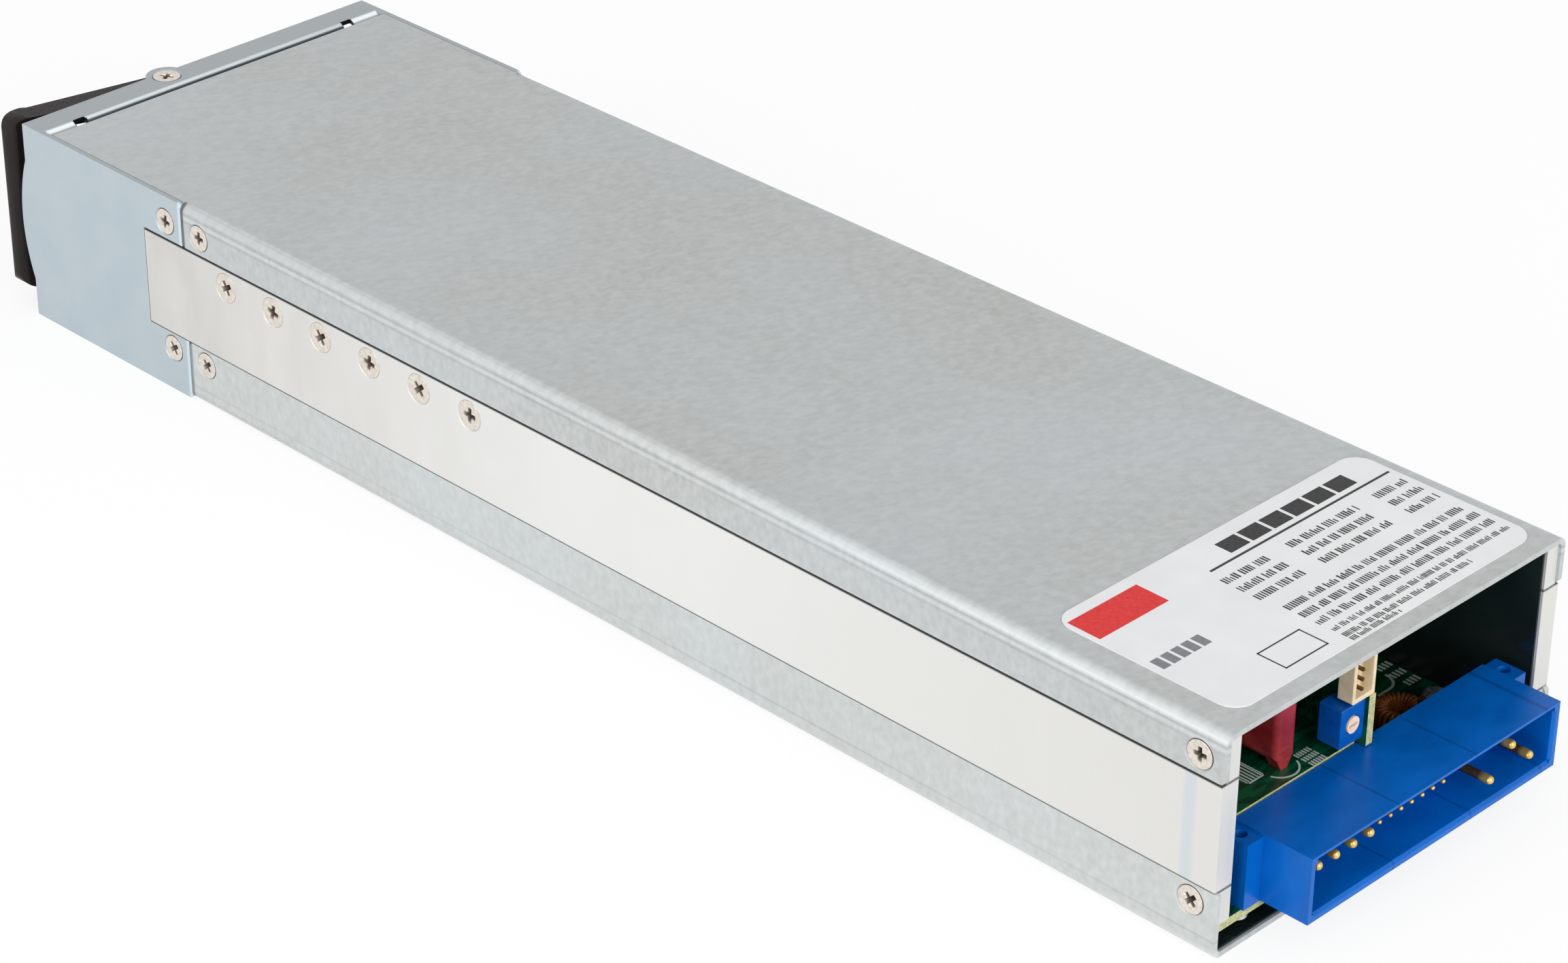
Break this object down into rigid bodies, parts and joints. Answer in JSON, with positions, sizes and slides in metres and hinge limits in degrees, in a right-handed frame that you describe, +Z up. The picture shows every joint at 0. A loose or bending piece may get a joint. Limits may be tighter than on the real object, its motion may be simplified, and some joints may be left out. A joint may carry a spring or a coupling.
{
  "type": "rack power supply module",
  "caption": "Slim 1U plug-in power supply module: long sheet-metal case with aluminium side strips, front fans and folding pull handle, and a blue hot-plug connector at the rear.",
  "frame": {"origin": "middle of the case's bottom face", "axes": "+X to the right-hand side seen from the front (handle) end, +Y along the case to the rear connector, +Z up"},
  "size_m": [0.085, 0.318, 0.0411],
  "materials": {
    "galvanised_steel": "mill galvanised sheet with fine spangle",
    "aluminium_plate": "fine brushed",
    "zinc_plated_steel": "bright bluish zinc plating",
    "black_plastic": "satin moulded",
    "nickel_screw": "warm nickel plating",
    "zinc_nut": "bright zinc",
    "fan_plastic": "glass-filled moulding",
    "clear_plastic": "clear acrylic",
    "white_led": "LED lens",
    "green_board": "solder-resist green board with pale cut edge",
    "black_epoxy": "moulded epoxy",
    "grey_pad": "silicone pad",
    "black_film": "glossy insulating film",
    "blue_plastic": "glossy blue moulding",
    "gold_pin": "gold plated, round tips",
    "cream_plastic": "nylon",
    "red_dip": "dipped epoxy",
    "orange_ring": "varnished winding",
    "can_sleeve": "shrink sleeve",
    "ferrite": "sintered ferrite",
    "copper_wire": "enamelled copper wire",
    "yellow_tape": "polyester tape",
    "yellow_box": "moulded box",
    "fuse_tube": "ceramic tube with nickel caps",
    "label_film": "white polyester label"
  },
  "bodies": {
    "module": {"top_cover": "galvanised_steel", "bottom_cover": "galvanised_steel", "right_side_plate": "aluminium_plate", "left_side_plate": "aluminium_plate", "front_housing": "zinc_plated_steel", "handle_pivot_screws": "nickel_screw", "handle_pivot_nuts": "zinc_nut", "cover_screws": "nickel_screw", "housing_screws": "nickel_screw", "transistor_screws": "nickel_screw", "transistors": "black_epoxy", "transistor_pads": "grey_pad", "transistor_nuts": "zinc_nut", "right_fan_frame": "fan_plastic", "left_fan_frame": "fan_plastic", "fan_screws": "nickel_screw", "status_light_pipes": "clear_plastic", "status_leds": "white_led", "status_led_board": "green_board", "main_board": "green_board", "board_standoffs": "zinc_nut", "board_screws": "zinc_nut", "bottom_insulation_sheet": "black_film", "side_insulation_sheet": "black_film", "rear_connector": "blue_plastic", "connector_power_pins": "gold_pin", "connector_signal_pins": "gold_pin", "connector_screws": "zinc_nut", "upper_board": "green_board", "upper_spacers": "zinc_nut", "control_board": "green_board", "control_chips": "black_epoxy", "trimmer_body": "blue_plastic", "header_socket": "cream_plastic", "header_pins": "gold_pin", "film_capacitor": "red_dip", "filter_ring": "orange_ring", "bulk_capacitors": "can_sleeve", "output_capacitors": "can_sleeve", "boost_choke_core": "ferrite", "boost_choke_winding": "copper_wire", "transformer_core": "ferrite", "transformer_winding": "yellow_tape", "output_choke": "ferrite", "mains_choke_core": "ferrite", "mains_choke_winding": "copper_wire", "relay": "black_epoxy", "mains_capacitor": "yellow_box", "fuse": "fuse_tube", "rating_label": "label_film"},
    "handle": {"pull_handle": "black_plastic"},
    "right_fan": {"right_fan_rotor": "fan_plastic"},
    "left_fan": {"left_fan_rotor": "fan_plastic"},
    "trimmer": {"trimmer_adjuster": "cream_plastic"}
  },
  "joints": [
    {"name": "handle_swing", "type": "hinge", "parent": "module", "child": "handle", "pos_m": [0.0088, -0.1484, 0.0205], "axis": [0, 0, -1], "range_deg": [0, 90]},
    {"name": "right_fan_spin", "type": "hinge", "parent": "module", "child": "right_fan", "pos_m": [0.0193, -0.13, 0.0205], "axis": [0, 1, 0], "continuous": true},
    {"name": "left_fan_spin", "type": "hinge", "parent": "module", "child": "left_fan", "pos_m": [-0.0193, -0.13, 0.0205], "axis": [0, 1, 0], "continuous": true},
    {"name": "trimmer_turn", "type": "hinge", "parent": "module", "child": "trimmer", "pos_m": [0.0046, 0.1446, 0.02385], "axis": [0, 1, 0], "range_deg": [-135, 135]}
  ]
}
